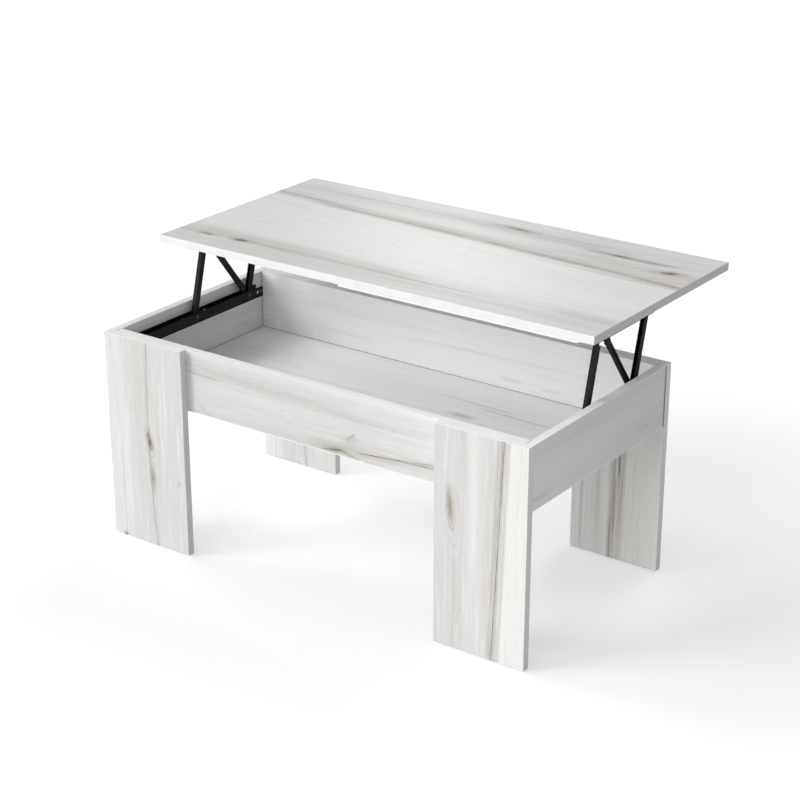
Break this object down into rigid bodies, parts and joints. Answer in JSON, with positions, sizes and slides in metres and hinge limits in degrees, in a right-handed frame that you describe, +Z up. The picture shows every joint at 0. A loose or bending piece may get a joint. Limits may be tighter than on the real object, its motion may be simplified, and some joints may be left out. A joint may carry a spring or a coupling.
{
  "type": "lift top coffee table",
  "caption": "Rectangular coffee table on panel legs whose top lifts and swings towards the user on folding side arms, over an open storage box.",
  "frame": {"origin": "on the floor, under the centre of the whole table's box with the top raised", "axes": "+X along the table's length to its right end, +Y across it towards the side where a person sits and towards which the raised top moves, +Z up"},
  "size_m": [1, 0.6842, 0.579],
  "materials": {
    "board_decor": "white-washed wood melamine, satin, fine grain",
    "bottom_decor": "white-washed wood foil on thin hardboard, satin",
    "edge_band": "plain off-white edge band, satin",
    "black_steel": "black powder coat, satin",
    "rivet_steel": "black oxide, satin",
    "zinc_steel": "bright zinc plating",
    "zinc_casting": "raw zinc casting",
    "beech_dowel": "raw beech",
    "black_nylon": "black nylon",
    "white_plastic": "off-white moulded plastic",
    "glide_plastic": "grey moulded plastic"
  },
  "bodies": {
    "base": {"front_apron": "board_decor", "rear_apron": "board_decor", "left_side_panel": "board_decor", "right_side_panel": "board_decor", "bottom_board": "bottom_decor", "rim_edge_bands": "edge_band", "bottom_nails": "zinc_steel", "corner_cam_locks": "zinc_casting", "corner_cam_bolts": "zinc_steel", "corner_dowels": "beech_dowel", "leg_dowels": "beech_dowel", "leg_screws": "zinc_steel", "leg_screw_caps": "white_plastic", "front_left_leg": "board_decor", "front_right_leg": "board_decor", "rear_left_leg": "board_decor", "rear_right_leg": "board_decor", "leg_edge_bands": "edge_band", "leg_glides": "glide_plastic", "left_base_rail": "black_steel", "right_base_rail": "black_steel", "base_arm_studs": "rivet_steel", "base_arm_pins": "rivet_steel", "base_through_rivets": "rivet_steel", "base_stay_washers": "black_nylon", "base_stay_sleeves": "black_nylon", "base_pivot_washers": "black_nylon", "rail_screws": "zinc_steel"},
    "top": {"top_panel": "board_decor", "top_edge_bands": "edge_band", "left_top_bracket": "black_steel", "right_top_bracket": "black_steel", "top_through_rivets": "rivet_steel", "top_arm_studs": "rivet_steel", "top_arm_pins": "rivet_steel", "top_stay_rivets": "rivet_steel", "top_stay_sleeves": "black_nylon", "top_pivot_washers": "black_nylon", "bracket_screws": "zinc_steel"},
    "left_front_arm_body": {"left_front_arm": "black_steel"},
    "left_rear_arm_body": {"left_rear_arm": "black_steel"},
    "left_lower_stay_body": {"left_lower_stay": "black_steel", "left_lower_stay_guide": "black_steel"},
    "left_upper_stay_body": {"left_upper_stay": "black_steel", "left_upper_stay_pin": "rivet_steel"},
    "right_front_arm_body": {"right_front_arm": "black_steel"},
    "right_rear_arm_body": {"right_rear_arm": "black_steel"},
    "right_lower_stay_body": {"right_lower_stay": "black_steel", "right_lower_stay_guide": "black_steel"},
    "right_upper_stay_body": {"right_upper_stay": "black_steel", "right_upper_stay_pin": "rivet_steel"}
  },
  "joints": [
    {"name": "lift", "type": "hinge", "parent": "base", "child": "left_front_arm_body", "pos_m": [-0.4595, -0.10883, 0.401], "axis": [1, 0, 0], "range_deg": [0, 98.33]},
    {"name": "top_level", "type": "hinge", "parent": "left_front_arm_body", "child": "top", "pos_m": [-0.4595, -0.07119, 0.5462], "axis": [1, 0, 0], "range_deg": [-98.33, 0]},
    {"name": "left_rear_arm_turn", "type": "hinge", "parent": "base", "child": "left_rear_arm_body", "pos_m": [-0.4595, 0.05617, 0.401], "axis": [1, 0, 0], "range_deg": [0, 98.33]},
    {"name": "right_front_arm_turn", "type": "hinge", "parent": "base", "child": "right_front_arm_body", "pos_m": [0.4595, -0.10883, 0.401], "axis": [1, 0, 0], "range_deg": [0, 98.33]},
    {"name": "right_rear_arm_turn", "type": "hinge", "parent": "base", "child": "right_rear_arm_body", "pos_m": [0.4595, 0.05617, 0.401], "axis": [1, 0, 0], "range_deg": [0, 98.33]},
    {"name": "left_lower_stay_turn", "type": "hinge", "parent": "base", "child": "left_lower_stay_body", "pos_m": [-0.4607, 0.05617, 0.401], "axis": [1, 0, 0], "range_deg": [0, 49.17]},
    {"name": "left_upper_stay_turn", "type": "hinge", "parent": "top", "child": "left_upper_stay_body", "pos_m": [-0.4583, -0.05619, 0.5462], "axis": [1, 0, 0], "range_deg": [0, 49.17]},
    {"name": "right_lower_stay_turn", "type": "hinge", "parent": "base", "child": "right_lower_stay_body", "pos_m": [0.4607, 0.05617, 0.401], "axis": [1, 0, 0], "range_deg": [0, 49.17]},
    {"name": "right_upper_stay_turn", "type": "hinge", "parent": "top", "child": "right_upper_stay_body", "pos_m": [0.4583, -0.05619, 0.5462], "axis": [1, 0, 0], "range_deg": [0, 49.17]}
  ],
  "couplings": [
    {"joint": "top_level", "follows": "lift", "ratio": -1},
    {"joint": "left_rear_arm_turn", "follows": "lift", "ratio": 1},
    {"joint": "right_front_arm_turn", "follows": "lift", "ratio": 1},
    {"joint": "right_rear_arm_turn", "follows": "lift", "ratio": 1},
    {"joint": "left_lower_stay_turn", "follows": "lift", "ratio": 0.5},
    {"joint": "left_upper_stay_turn", "follows": "lift", "ratio": 0.5},
    {"joint": "right_lower_stay_turn", "follows": "lift", "ratio": 0.5},
    {"joint": "right_upper_stay_turn", "follows": "lift", "ratio": 0.5}
  ]
}
